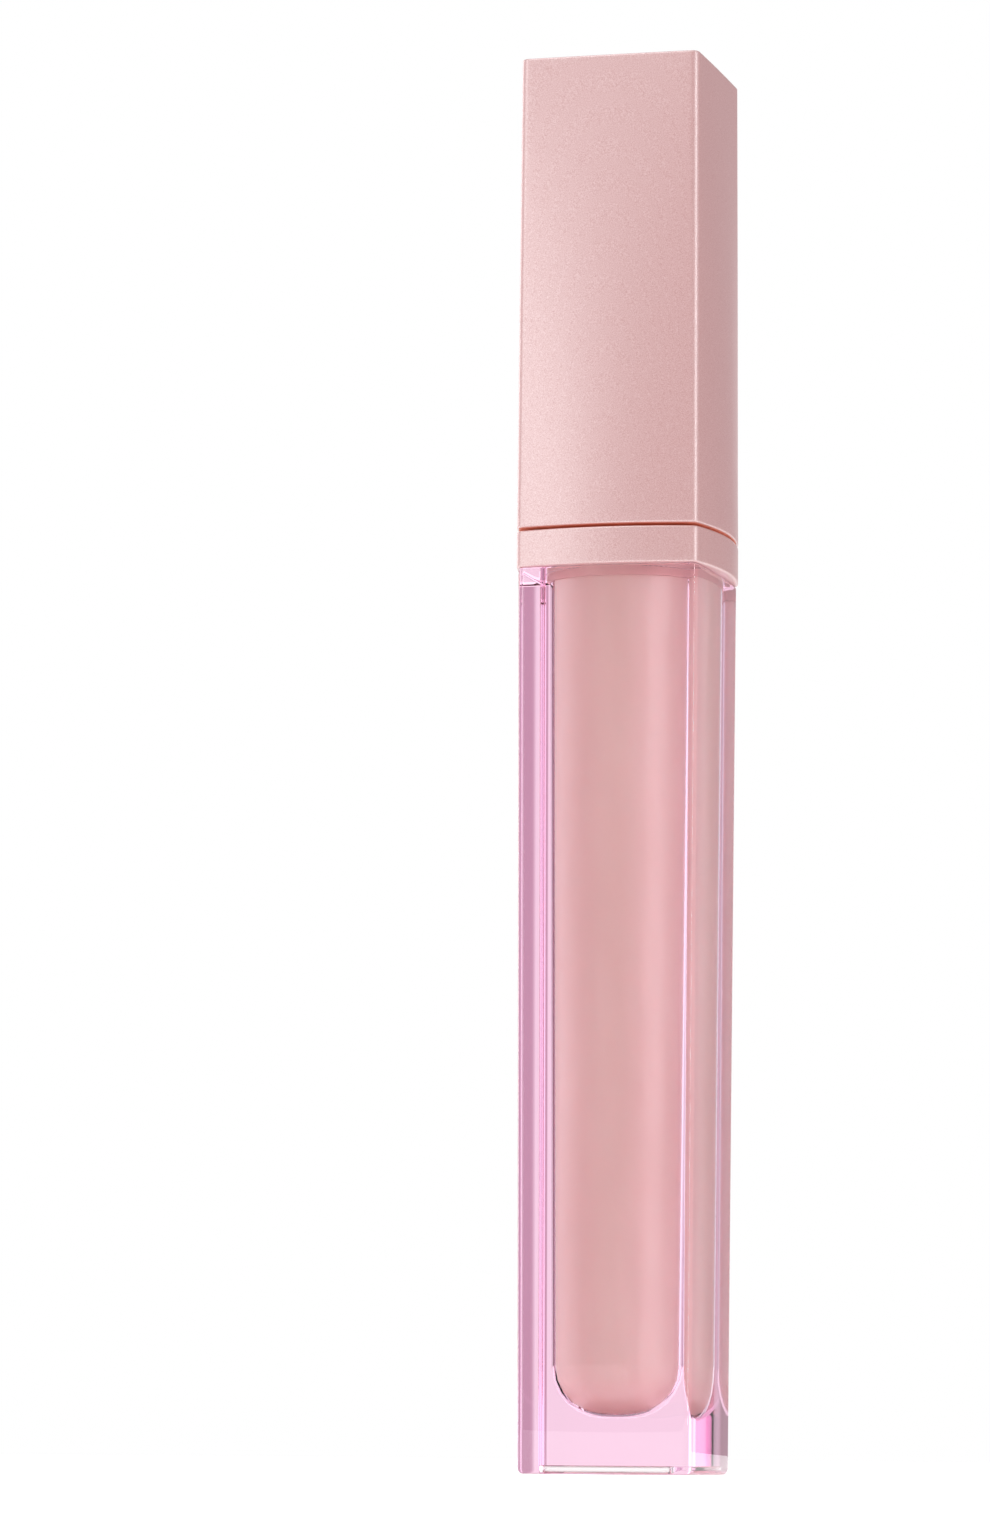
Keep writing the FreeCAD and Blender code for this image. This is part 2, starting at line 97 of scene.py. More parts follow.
FIBRE_LENGTH = 0.16
FIBRE_SUNK = 0.05
FIBRE_RADIUS = 0.014
FIBRE_LEAN = 0.35
FIBRE_SHORTEST = 0.6
FIBRE_SEED = 11
FIBRES_PER_MM2 = 30
# Flock faces nearer the rubber than this are the inside of its sleeve.
FLOCK_THINNEST = 0.05

SIDE_STEPS = 40
CORNER_STEPS = 16
ROUND_STEPS = 6
LATHE_STEPS = 192
FADE_STEPS = 12
SUPPORT = 0.25
# A path that ends on a flat face runs this far in from the corner before it.
NARROW_RUN = 0.2
END_RUN = 0.5
WIDE_RUN = 0.8
FOOT_RUN = 1.0
MOUTH_RUN = 0.25
RECESS_RUN = 0.1
# Small roundings on edges that nobody sees closely.
HIDDEN_ROUND = 0.05
POCKET_ROUND = 0.10
SHARPEST_CORNER = 0.05
FLATTEST_PILLOW = 0.0001
NEAR = 0.01
SHARP_ANGLE = math.radians(32)
# A face counts as level, up or down, from this much of its normal along Z.
LEVEL_NORMAL = 0.9

# Brightness of the studio round the tube, by bearing in degrees: 0 is in front of it,
# 90 to its right and 180 behind it. The first is what the paint sees, and the second
# what shows through the clear base, where the flags in front stand closer.
SURROUND = [
    (-180, (1.0, 1.0, 1.0)),
    (-110, (1.0, 1.0, 1.0)),
    (-85, (0.40, 0.40, 0.40)),
    (40, (0.28, 0.28, 0.28)),
    (80, (0.46, 0.46, 0.46)),
    (110, (0.46, 0.46, 0.46)),
    (140, (0.32, 0.27, 0.28)),
    (174, (0.44, 0.37, 0.39)),
    (180, (1.0, 1.0, 1.0)),
]
SURROUND_THROUGH = [
    (-180, (1.0, 1.0, 1.0)),
    (-140, (1.0, 1.0, 1.0)),
    (-130, (1.6, 1.85, 1.85)),
    (-102, (1.6, 1.85, 1.85)),
    (-45, (0.44, 0.41, 0.39)),
    (-26, (0.44, 0.41, 0.39)),
    (-20, (0.90, 0.90, 0.90)),
    (-9, (0.90, 0.90, 0.90)),
    (-3, (0.44, 0.41, 0.39)),
    (22, (0.44, 0.41, 0.39)),
    (54, (1.45, 1.75, 1.7)),
    (94, (1.45, 1.75, 1.7)),
    (100, (0.30, 0.25, 0.28)),
    (116, (0.30, 0.25, 0.28)),
    (122, (1.0, 1.0, 1.0)),
    (159, (1.0, 1.0, 1.0)),
    (162, (0.60, 0.44, 0.52)),
    (175, (0.60, 0.44, 0.52)),
    (180, (1.0, 1.0, 1.0)),
]

# As a ray slopes up from the first of these to the second, the studio's wall becomes a
# plain bright ceiling, and as one that has been through the base slopes down, it
# becomes a white floor. The slopes are the ray's own Z.
CEILING_FROM = 0.55
CEILING_FULL = 0.80
CEILING_LEVEL = 0.60
FLOOR_FROM = -0.01
FLOOR_FULL = -0.08

FLOOR_WIDTH = 900
LAMP_DISTANCE = 600
# Each softbox by name: its bearing and elevation in degrees, width, height and watts.
LAMPS = {
    "key_left": (-40, 12, 360, 900, 1.8),
    "strip_right": (70, 8, 50, 900, 1.8),
    "rim_left": (-118, 8, 200, 900, 1.3),
    "overhead": (-20, 65, 300, 300, 0.9),
}

# The camera stands at this bearing, near the floor. Yaw, pitch and roll turn it away
# from looking level at the tube's axis. The angles are in radians.
CAMERA_DISTANCE = 507.8
CAMERA_HEIGHT = 2.475
CAMERA_BEARING = 0.2409
CAMERA_YAW = 0.0222
CAMERA_PITCH = 0.113
CAMERA_ROLL = 0.0079
CAMERA_LENS = 141.5

# Moulded pieces whose CAD shape is kept: material name, two shades, roughness and
# how milky the plastic is.
PLASTICS = {
    "neck_insert": ("neck_plastic", (0.80, 0.42, 0.40), (0.88, 0.50, 0.47), 0.35, 0.3),
    "wiper": ("wiper_plastic", (0.78, 0.77, 0.77), (0.86, 0.85, 0.85), 0.4, 0.4),
    "cap_liner": ("liner_plastic", (0.70, 0.62, 0.60), (0.78, 0.71, 0.69), 0.35, 0.2),
    "plate_pad": ("pad_foam", (0.74, 0.74, 0.72), (0.82, 0.82, 0.80), 0.8, 0.0),
    "seal_disc": ("seal_foam", (0.80, 0.78, 0.76), (0.88, 0.86, 0.84), 0.7, 0.0),
    "wand_rod": ("rod_plastic", (0.70, 0.58, 0.57), (0.78, 0.67, 0.66), 0.3, 0.3),
    "tip_core": ("tip_rubber", (0.74, 0.62, 0.60), (0.82, 0.71, 0.69), 0.6, 0.0),
}

# ---------------------------------------------------------------- outlines

def pillow_square(width, pillow, corner):
    """Points of a square with bowed sides and round corners, anticlockwise."""
    half = width / 2
    pillow = max(pillow, FLATTEST_PILLOW)
    bow = (half**2 + pillow**2) / (2 * pillow)
    centre = half + pillow - bow
    reach = bow - corner
    middle = (centre + math.sqrt(2 * reach**2 - centre**2)) / 2
    lean = math.atan2(middle, middle - centre)
    quarter = []
    for i in range(SIDE_STEPS):
        angle = lean * (2 * i / SIDE_STEPS - 1)
        quarter.append((centre + bow * math.cos(angle), bow * math.sin(angle)))
    for i in range(CORNER_STEPS):
        angle = lean + (math.pi / 2 - 2 * lean) * i / CORNER_STEPS
        quarter.append((middle + corner * math.cos(angle), middle + corner * math.sin(angle)))
    points = []
    for turn in range(4):
        c, s = [(1, 0), (0, 1), (-1, 0), (0, -1)][turn]
        points += [(c * x - s * y, s * x + c * y) for x, y in quarter]
    return points


def circle_like(points, radius):
    """A circle whose points lie at the same bearings as these."""
    return [(radius * x / math.hypot(x, y), radius * y / math.hypot(x, y)) for x, y in points]


def at_height(points, z):
    """The same outline, as points in space."""
    return [(x, y, z) for x, y in points]


def rounded_path(corners):
    """A path through (x, z, radius) corners, each rounded by its own arc.

    A short support step stands before and after each arc, so that smooth shading
    stays on the arc and the runs beside it stay flat.
    """
    path = [corners[0][:2]]
    for i in range(1, len(corners) - 1):
        before, here, after = (Vector(corners[i + k][:2]) for k in (-1, 0, 1))
        radius = corners[i][2]
        back = (before - here).normalized()
        ahead = (after - here).normalized()
        half_angle = back.angle(ahead) / 2
        tangent = radius / math.tan(half_angle)
        bisector = (back + ahead).normalized()
        centre = here + bisector * (radius / math.sin(half_angle))
        start = here + back * tangent
        end = here + ahead * tangent
        room_back = ((before - here).length - tangent) / 2
        room_ahead = ((after - here).length - tangent) / 2
        path.append(tuple(start + back * min(SUPPORT, room_back)))
        first = start - centre
        sweep = (start - centre).angle_signed(end - centre)
        for k in range(ROUND_STEPS + 1):
            turn = Matrix.Rotation(-sweep * k / ROUND_STEPS, 2)
            path.append(tuple(centre + turn @ first))
        path.append(tuple(end + ahead * min(SUPPORT, room_ahead)))
    path.append(corners[-1][:2])
    return path


def steps_between(low, high):
    """Even steps between two path points, for a long run where the pillow fades."""
    steps = []
    for i in range(1, FADE_STEPS):
        share = i / FADE_STEPS
        steps.append(tuple(a + (b - a) * share for a, b in zip(low, high)))
    return steps


# ---------------------------------------------------------------- meshes

def skin(name, rings, closed=False):
    """A smooth mesh over rings of equal length; a ring of one point closes an end."""
    mesh = bpy.data.meshes.new(name)
    work = bmesh.new()
    loops = [[work.verts.new([v * MM for v in point]) for point in ring] for ring in rings]
    pairs = list(zip(loops, loops[1:]))
    if closed:
        pairs.append((loops[-1], loops[0]))
    for low, high in pairs:
        count = max(len(low), len(high))
        for i in range(count):
            j = (i + 1) % count
            if len(low) == 1:
                work.faces.new((low[0], high[j], high[i]))
            elif len(high) == 1:
                work.faces.new((low[i], low[j], high[0]))
            else:
                work.faces.new((low[i], low[j], high[j], high[i]))
    bmesh.ops.recalc_face_normals(work, faces=work.faces)
    work.to_mesh(mesh)
    work.free()
    for polygon in mesh.polygons:
        polygon.use_smooth = True
    mesh.set_sharp_from_angle(angle=SHARP_ANGLE)
    piece = bpy.data.objects.new(name, mesh)
    bpy.context.scene.collection.objects.link(piece)
    return piece


def lathe(name, path):
    """Turn a path of (radius, z) about Z. Its two ends are on the axis."""
    turns = [math.tau * i / LATHE_STEPS for i in range(LATHE_STEPS)]
    rings = [[(0, 0, path[0][1])]]
    for radius, z in path[1:-1]:
        rings.append([(radius * math.cos(a), radius * math.sin(a), z) for a in turns])
    rings.append([(0, 0, path[-1][1])])
    return skin(name, rings)


def square_rings(path, width_at, pillow_at, corner):
    """Rings for a path of (inset, z) on a pillow square that changes with height."""
    rings = []
    for inset, z in path:
        rounding = max(corner - inset, SHARPEST_CORNER)
        points = pillow_square(width_at(z) - 2 * inset, pillow_at(z), rounding)
        rings.append(at_height(points, z))
    return rings


def flat_sided_rings(path, half, corner):
    """Rings for a path of (half width, z) on a plain square with round corners."""
    rings = []
    for reach, z in path:
        rounding = max(corner + reach - half, SHARPEST_CORNER)
        rings.append(at_height(pillow_square(2 * reach, 0, rounding), z))
    return rings


def between(low_z, low, high_z, high):
    """A straight change from low to high between two heights."""
    return lambda z: low + (high - low) * (z - low_z) / (high_z - low_z)


def constant(value):
    """The same value at every height."""
    return lambda z: value


def finish_piece(piece, node, body, material):
    """Hand a finished mesh over: its look, its body and the CAD node it stands for."""
    piece.data.materials.append(material)
    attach(piece, body)
    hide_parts(node)


# ---------------------------------------------------------------- node helpers

def new_material(name):
    """A material, its node tree and its Principled shader."""
    material = bpy.data.materials.new(name)
    material.use_nodes = True
    tree = material.node_tree
    shader = tree.nodes["Principled BSDF"]
    return material, tree, shader


def add(tree, kind, **settings):
    """A new node of this kind, with its settings."""
    node = tree.nodes.new(kind)
    for name, value in settings.items():
        setattr(node, name, value)
    return node


def noise_field(tree, scale, detail=2.0, roughness=0.5, stretch=None):
    """Noise over the piece's own coordinates, with an optional stretch per axis."""
    source = add(tree, "ShaderNodeTexCoord").outputs["Object"]
    if stretch:
        mapping = add(tree, "ShaderNodeMapping")
        mapping.inputs["Scale"].default_value = stretch
        tree.links.new(source, mapping.inputs["Vector"])
        source = mapping.outputs["Vector"]
    field = add(tree, "ShaderNodeTexNoise")
    field.inputs["Scale"].default_value = scale
    field.inputs["Detail"].default_value = detail
    field.inputs["Roughness"].default_value = roughness
    tree.links.new(source, field.inputs["Vector"])
    return field.outputs["Fac"]


def ramp(tree, factor, stops):
    """A colour ramp over factor, from (position, colour) stops."""
    node = add(tree, "ShaderNodeValToRGB")
    elements = node.color_ramp.elements
    while len(elements) < len(stops):
        elements.new(0.5)
    for element, (position, colour) in zip(elements, stops):
        element.position = position
        element.color = (*colour, 1)
    tree.links.new(factor, node.inputs["Fac"])
    return node.outputs["Color"]


def spread(tree, factor, low, high):
    """Map a 0 to 1 field onto low to high."""
    node = add(tree, "ShaderNodeMapRange")
    node.inputs["To Min"].default_value = low
    node.inputs["To Max"].default_value = high
    tree.links.new(factor, node.inputs["Value"])
    return node.outputs["Result"]


def bump(tree, shader, height, strength, distance):
    """Let a 0 to 1 field tilt the shader's surface. The distance is in metres."""
    node = add(tree, "ShaderNodeBump")
    node.inputs["Strength"].default_value = strength
    node.inputs["Distance"].default_value = distance
    tree.links.new(height, node.inputs["Height"])
    tree.links.new(node.outputs["Normal"], shader.inputs["Normal"])


def glossy(tree, roughness, colour=(0.8, 0.8, 0.8)):
    """A plain mirror-like layer, to mix into a Principled shader."""
    layer = add(tree, "ShaderNodeBsdfGlossy")
    layer.inputs["Color"].default_value = (*colour, 1)
    layer.inputs["Roughness"].default_value = roughness
    return layer.outputs["BSDF"]


def mix_shaders(tree, share, first, second):
    """The first shader, with this share of the second over it."""
    mix = add(tree, "ShaderNodeMixShader")
    tree.links.new(share, mix.inputs[0])
    tree.links.new(first, mix.inputs[1])
    tree.links.new(second, mix.inputs[2])
    return mix.outputs["Shader"]


# ---------------------------------------------------------------- materials

def make_clear_lilac():
    """Thick clear plastic: the lilac is in its depth, with faint moulding waves."""
    material, tree, shader = new_material("clear_lilac")
    shader.inputs["Base Color"].default_value = (1, 1, 1, 1)
    shader.inputs["Transmission Weight"].default_value = 1
    shader.inputs["IOR"].default_value = 1.5
    waves = noise_field(tree, 90, detail=1.0, stretch=(1, 1, 0.12))
    tree.links.new(spread(tree, waves, 0.0, 0.012), shader.inputs["Roughness"])
    bump(tree, shader, waves, 0.02, 0.00002)
    depth = add(tree, "ShaderNodeVolumeAbsorption")
    depth.inputs["Color"].default_value = (0.965, 0.09, 0.60, 1)
    depth.inputs["Density"].default_value = 30
    output = tree.nodes["Material Output"]
    tree.links.new(depth.outputs["Volume"], output.inputs["Volume"])
    return material


def make_gloss_material():
    """Milky peach gloss behind plastic: a pearly sheen, and a mirror seen edge on."""
    material, tree, shader = new_material("gloss")
    cloud = noise_field(tree, 160, detail=3.0, stretch=(1, 1, 0.35))
    colour = ramp(tree, cloud, [(0.3, (0.84, 0.47, 0.40)), (0.7, (0.90, 0.53, 0.455))])
    tree.links.new(colour, shader.inputs["Base Color"])
    shader.inputs["Roughness"].default_value = 0.45
    shader.inputs["Subsurface Weight"].default_value = 0.25
    shader.inputs["Subsurface Radius"].default_value = (1.0, 0.4, 0.35)
    shader.inputs["Subsurface Scale"].default_value = 0.0012
    pearl = glossy(tree, 0.45, (1.0, 0.96, 0.96))
    body = mix_shaders(tree, spread(tree, cloud, 0.19, 0.25), shader.outputs["BSDF"], pearl)
    edge = add(tree, "ShaderNodeFresnel")
    edge.inputs["IOR"].default_value = 0.94
    surface = mix_shaders(tree, edge.outputs["Fac"], body, glossy(tree, 0.03))
    tree.links.new(surface, tree.nodes["Material Output"].inputs["Surface"])
    return material


def make_pearl_pink():
    """Pearl lacquer: a rose ground with pale mica flake that mirrors broadly."""
    material, tree, shader = new_material("pearl_pink")
    flake = noise_field(tree, 13000, detail=1.0)
    colour = ramp(tree, flake, [(0.3, (0.52, 0.24, 0.235)), (0.7, (0.61, 0.295, 0.29))])
    tree.links.new(colour, shader.inputs["Base Color"])
    shader.inputs["IOR"].default_value = 1.35
    tree.links.new(spread(tree, flake, 0.38, 0.48), shader.inputs["Roughness"])
    shader.inputs["Coat Weight"].default_value = 0.25
    shader.inputs["Coat Roughness"].default_value = 0.2
    bump(tree, shader, flake, 0.25, 0.00001)
    mica = glossy(tree, 0.44, (0.95, 0.97, 0.98))
    surface = mix_shaders(tree, spread(tree, flake, 0.0, 0.54), shader.outputs["BSDF"], mica)
    tree.links.new(surface, tree.nodes["Material Output"].inputs["Surface"])
    return material


def make_painted_gap_glow():
    """Painted glow for the two rims that face each other across the cap's gap: a warm orange
    colour and a faint self-glow paint in the light that bounces between the pink rims.
    """
    material, tree, shader = new_material("painted_gap_glow")
    mottle = noise_field(tree, 900, detail=2.0)
    tint = ramp(tree, mottle, [(0.3, (0.74, 0.31, 0.23)), (0.7, (0.82, 0.38, 0.30))])
    tree.links.new(tint, shader.inputs["Base Color"])
    shader.inputs["Roughness"].default_value = 0.5
    # A faint self-glow, though the rims are no lamp: painted light bouncing in the gap.
    shader.inputs["Emission Color"].default_value = (0.80, 0.20, 0.09, 1)
    shader.inputs["Emission Strength"].default_value = 0.06
    return material


def make_champagne():
    """Champagne gold, anodised over a fine one-way grain."""
    material, tree, shader = new_material("champagne")
    grain = noise_field(tree, 2500, detail=2.0, stretch=(0.03, 1, 1))
    drift = noise_field(tree, 120, detail=2.0)
    colour = ramp(tree, drift, [(0.3, (0.90, 0.72, 0.50)), (0.7, (0.96, 0.82, 0.60))])
    tree.links.new(colour, shader.inputs["Base Color"])
    shader.inputs["Metallic"].default_value = 1
    shader.inputs["Anisotropic"].default_value = 0.5
    tree.links.new(spread(tree, grain, 0.20, 0.34), shader.inputs["Roughness"])
    bump(tree, shader, grain, 0.25, 0.00001)
    return material


def make_plastic(name, dark, light, rough, milky):
    """A plain moulded plastic with slight mottling and a fine moulded skin."""
    material, tree, shader = new_material(name)
    mottle = noise_field(tree, 300, detail=3.0)
    tint = ramp(tree, mottle, [(0.3, dark), (0.7, light)])
    tree.links.new(tint, shader.inputs["Base Color"])
    skin_grain = noise_field(tree, 5000, detail=2.0)
    polish = spread(tree, skin_grain, rough - 0.06, rough + 0.06)
    tree.links.new(polish, shader.inputs["Roughness"])
    shader.inputs["Subsurface Weight"].default_value = milky
    shader.inputs["Subsurface Radius"].default_value = (1, 1, 1)
    shader.inputs["Subsurface Scale"].default_value = 0.0006
    bump(tree, shader, skin_grain, 0.15, 0.00001)
    return material


def make_steel():
    """Turned steel with fine rings round its axis."""
    material, tree, shader = new_material("turned_steel")
    rings = noise_field(tree, 4000, detail=2.0, stretch=(0.02, 0.02, 1))
    tint = ramp(tree, rings, [(0.3, (0.48, 0.48, 0.49)), (0.7, (0.62, 0.62, 0.63))])
    tree.links.new(tint, shader.inputs["Base Color"])
    shader.inputs["Metallic"].default_value = 1
    tree.links.new(spread(tree, rings, 0.22, 0.38), shader.inputs["Roughness"])
    bump(tree, shader, rings, 0.3, 0.00001)
    return material


def make_paper():
    """A blank coated sticker with faint paper fibres."""
    material, tree, shader = new_material("label_paper")
    fibres = noise_field(tree, 1800, detail=5.0, roughness=0.7)
    tint = ramp(tree, fibres, [(0.3, (0.80, 0.79, 0.77)), (0.7, (0.88, 0.87, 0.86))])
    tree.links.new(tint, shader.inputs["Base Color"])
    shader.inputs["Roughness"].default_value = 0.6
    bump(tree, shader, fibres, 0.2, 0.00001)
    return material


def make_flock():
    """Nylon flock, wet with gloss: pale fibres with pink between them."""
    material, tree, shader = new_material("wet_flock")
    tufts = noise_field(tree, 3500, detail=3.0)
    tint = ramp(tree, tufts, [(0.35, (0.70, 0.36, 0.36)), (0.65, (0.86, 0.62, 0.60))])
    tree.links.new(tint, shader.inputs["Base Color"])
    tree.links.new(spread(tree, tufts, 0.25, 0.5), shader.inputs["Roughness"])
    shader.inputs["Coat Weight"].default_value = 0.4
    shader.inputs["Coat Roughness"].default_value = 0.2
    return material


# ---------------------------------------------------------------- bottle

def make_base_shell(material):
    """One closed skin: the foot's recess, the outer wall and rim, then the cavity."""
    half = RECESS_WIDTH / 2
    roof = RECESS_DEPTH + AIR_FILM
    recess = rounded_path(
        [
            (half - END_RUN, roof, 0),
            (half, roof, RECESS_EDGE_ROUND),
            (half, 0, RECESS_EDGE_ROUND),
            (half + NARROW_RUN, 0, 0),
        ]
    )
    rings = [[(0, 0, roof)]] + flat_sided_rings(recess, half, RECESS_ROUND)
    width = between(0, FOOT_WIDTH, BASE_TOP, SHOULDER_WIDTH)
    outer = rounded_path(
        [
            (FOOT_RUN, 0, 0),
            (0, 0, FOOT_ROUND),
            (0, BASE_TOP, RIM_ROUND),
            (END_RUN, BASE_TOP, 0),
        ]
    )
    rings += square_rings(outer, width, constant(BASE_PILLOW), CORNER_ROUND)
    cavity = rounded_path(
        [
            (SEAT_RADIUS + NARROW_RUN, BASE_TOP, 0),
            (SEAT_RADIUS, BASE_TOP, SEAT_RIM_ROUND),
            (SEAT_RADIUS, SEAT_FLOOR, HIDDEN_ROUND),
            (CAVITY_TOP_RADIUS, SEAT_FLOOR, HIDDEN_ROUND),
            (CAVITY_FOOT_RADIUS, CAVITY_FLOOR, CAVITY_FLOOR_ROUND),
            (0, CAVITY_FLOOR, 0),
        ]
    )
    outline = pillow_square(SHOULDER_WIDTH, BASE_PILLOW, CORNER_ROUND)
    rings += [at_height(circle_like(outline, radius), z) for radius, z in cavity[:-1]]
    rings.append([(0, 0, CAVITY_FLOOR)])
    piece = skin("clear_base", rings)
    finish_piece(piece, "base_shell", "bottle", material)


def make_gloss(material):
    """The gloss wets the cavity wall, so it reaches a hair into the plastic."""
    grip = GLOSS_GRIP
    path = rounded_path(
        [
            (0, CAVITY_FLOOR - grip, 0),
            (CAVITY_FOOT_RADIUS + grip, CAVITY_FLOOR - grip, CAVITY_FLOOR_ROUND + grip),
            (CAVITY_TOP_RADIUS + grip, SEAT_FLOOR + grip, grip),
            (0, SEAT_FLOOR + grip, 0),
        ]
    )
    piece = lathe("gloss_column", path)
    finish_piece(piece, "gloss_fill", "bottle", material)


def paint_gap_glow_faces(piece, material, z, facing):
    """Give the flat faces at one height, facing up or down, a second material: the painted
    glow of the gap.
    """
    piece.data.materials.append(material)
    for polygon in piece.data.polygons:
        there = abs(polygon.center.z / MM - z) < NEAR
        if there and polygon.normal.z * facing > LEVEL_NORMAL:
            polygon.material_index = 1


def make_collar(material, gap_glow):
    """The collar ring: pillowed outside, round inside."""
    width = constant(MOUTH_WIDTH)
    pillow = constant(MOUTH_PILLOW)
    low = BASE_TOP + AIR_FILM
    outer = rounded_path(
        [
            (WIDE_RUN, low, 0),
            (0, low, RIM_ROUND),
            (0, COLLAR_TOP, RIM_ROUND),
            (WIDE_RUN, COLLAR_TOP, 0),
        ]
    )
    rings = square_rings(outer, width, pillow, CORNER_ROUND)
    outline = pillow_square(MOUTH_WIDTH, MOUTH_PILLOW, CORNER_ROUND)
    for radius, z in rounded_path(
        [
            (HUB_HOLE_RADIUS + END_RUN, COLLAR_TOP, 0),
            (HUB_HOLE_RADIUS, COLLAR_TOP, RIM_ROUND),
            (HUB_HOLE_RADIUS, low, RIM_ROUND),
            (HUB_HOLE_RADIUS + END_RUN, low, 0),
        ]
    ):
        rings.append(at_height(circle_like(outline, radius), z))
    piece = skin("pearl_collar", rings, closed=True)
    finish_piece(piece, "collar", "bottle", material)
    paint_gap_glow_faces(piece, gap_glow, COLLAR_TOP, 1)


# ---------------------------------------------------------------- cap

def make_cap_shell(material, gap_glow):
    """The cap as one skin: pocket, mouth rim, outer wall and the plate's recess."""
    width = between(CAP_LOW, MOUTH_WIDTH, CAP_TOP, CAP_TOP_WIDTH)
    pillow = between(CAP_LOW, MOUTH_PILLOW, CAP_TOP, CAP_TOP_PILLOW)
    inside = CAP_INSIDE_WIDTH / 2
    rings = [[(0, 0, CAP_ROOF)]]
    pocket = rounded_path(
        [
            (inside - END_RUN, CAP_ROOF, 0),
            (inside, CAP_ROOF, POCKET_ROUND),
            (inside, CAP_LOW, POCKET_ROUND),
            (inside + MOUTH_RUN, CAP_LOW, 0),
        ]
    )
    rings += flat_sided_rings(pocket, inside, CAP_INSIDE_ROUND)
    outer = rounded_path(
        [
            (END_RUN, CAP_LOW, 0),
            (0, CAP_LOW, RIM_ROUND),
            (0, CAP_TOP, RIM_ROUND),
            (NARROW_RUN, CAP_TOP, 0),
        ]
    )
    half = len(outer) // 2
    outer = outer[:half] + steps_between(outer[half - 1], outer[half]) + outer[half:]
    rings += square_rings(outer, width, pillow, CORNER_ROUND)
    edge = PLATE_RECESS_WIDTH / 2
    recess = rounded_path(
        [
            (edge + RECESS_RUN, CAP_TOP, 0),
            (edge, CAP_TOP, HIDDEN_ROUND),
            (edge, PLATE_RECESS_FLOOR, HIDDEN_ROUND),
            (edge - END_RUN, PLATE_RECESS_FLOOR, 0),
        ]
    )
    rings += flat_sided_rings(recess, edge, PLATE_CORNER)
    rings.append([(0, 0, PLATE_RECESS_FLOOR)])
    piece = skin("pearl_cap", rings)
    finish_piece(piece, "cap_shell", "cap", material)
    paint_gap_glow_faces(piece, gap_glow, CAP_LOW, -1)


def make_top_plate(material):
    """The gold plate, with a softly rolled edge."""
    half = PLATE_WIDTH / 2
    path = rounded_path(
        [
            (half - WIDE_RUN, PLATE_LOW, 0),
            (half, PLATE_LOW, PLATE_FOOT_ROUND),
            (half, CAP_TOP, PLATE_EDGE_ROUND),
            (half - WIDE_RUN, CAP_TOP, 0),
        ]
    )
    rings = [[(0, 0, PLATE_LOW)]] + flat_sided_rings(path, half, PLATE_CORNER)
    rings.append([(0, 0, CAP_TOP)])
    piece = skin("gold_plate", rings)
    finish_piece(piece, "top_plate", "cap", material)


# ---------------------------------------------------------------- wand tip

def node_triangles(name):
    """A CAD node's surface as triangles, in the frame's own place."""
    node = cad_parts[name]
    surface = bmesh.new()
    surface.from_mesh(node.data)
    surface.transform(node.matrix_world)
    bmesh.ops.triangulate(surface, faces=surface.faces)
    return surface


def add_fibre(fibres, root, away, draw):
    """One fibre: a thin three-sided spike with its foot sunk in the flock."""
    lean = Vector((draw.uniform(-1, 1), draw.uniform(-1, 1), draw.uniform(-1, 1)))
    along = (away + lean * FIBRE_LEAN).normalized()
    side = along.orthogonal().normalized() * FIBRE_RADIUS * MM
    foot = root - along * FIBRE_SUNK * MM
    tip = root + along * FIBRE_LENGTH * draw.uniform(FIBRE_SHORTEST, 1.0) * MM
    third = Matrix.Rotation(math.tau / 3, 3, along)
    offsets = (side, third @ side, third @ third @ side)
    corners = [fibres.verts.new(foot + offset) for offset in offsets]
    point = fibres.verts.new(tip)
    fibres.faces.new(reversed(corners))
    for here, there in zip(corners, corners[1:] + corners[:1]):
        fibres.faces.new((here, there, point))


def make_flock_fibres(material):
    """Short fibres stand out all over the flocked tip, seeded so they never change."""
    core = node_triangles("tip_core")
    flock = node_triangles("tip_flock")
    filling = BVHTree.FromBMesh(core)
    draw = random.Random(FIBRE_SEED)
    fibres = bmesh.new()
    for face in flock.faces:
        inside = filling.find_nearest(face.calc_center_median())[3] < FLOCK_THINNEST * MM
        if inside or face.normal.z > LEVEL_NORMAL:
            continue
        a, b, c = (vert.co for vert in face.verts)
        for _ in range(int(face.calc_area() / MM**2 * FIBRES_PER_MM2 + draw.random())):
            u, v = math.sqrt(draw.random()), draw.random()
            root = a * (1 - u) + b * u * (1 - v) + c * u * v
            add_fibre(fibres, root, face.normal, draw)
    mesh = bpy.data.meshes.new("flock_fibres")
    fibres.to_mesh(mesh)
    for spent in (core, flock, fibres):
        spent.free()
    piece = bpy.data.objects.new("flock_fibres", mesh)
    bpy.context.scene.collection.objects.link(piece)
    mesh.materials.append(material)
    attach(piece, "cap")


# ---------------------------------------------------------------- kept CAD pieces

def keep_node(name, material):
    """A CAD piece whose shape is right keeps it, and gets this material."""
    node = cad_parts[name]
    node.data.materials.clear()
    node.data.materials.append(material)


# ---------------------------------------------------------------- studio

def make_floor():
    """A white floor, a little self-lit so that it reads as pure white."""
    material, tree, shader = new_material("white_floor")
    grain = noise_field(tree, 40, detail=2.0)
    tint = ramp(tree, grain, [(0.0, (0.86, 0.86, 0.86)), (1.0, (0.90, 0.90, 0.90))])
    tree.links.new(tint, shader.inputs["Base Color"])
    shader.inputs["Roughness"].default_value = 0.9
    shader.inputs["Specular IOR Level"].default_value = 0.0
    shader.inputs["Emission Color"].default_value = (1, 1, 1, 1)
    shader.inputs["Emission Strength"].default_value = 0.55
    bpy.ops.mesh.primitive_plane_add(size=FLOOR_WIDTH * MM, location=(0, 0, 0))
    floor = bpy.context.object
    floor.name = "floor"
    floor.data.materials.append(material)


def ray_direction(tree):
    """Where a world ray points, as separate X, Y and Z."""
    split = add(tree, "ShaderNodeSeparateXYZ")
    source = add(tree, "ShaderNodeTexCoord").outputs["Generated"]
    tree.links.new(source, split.inputs["Vector"])
    return split.outputs


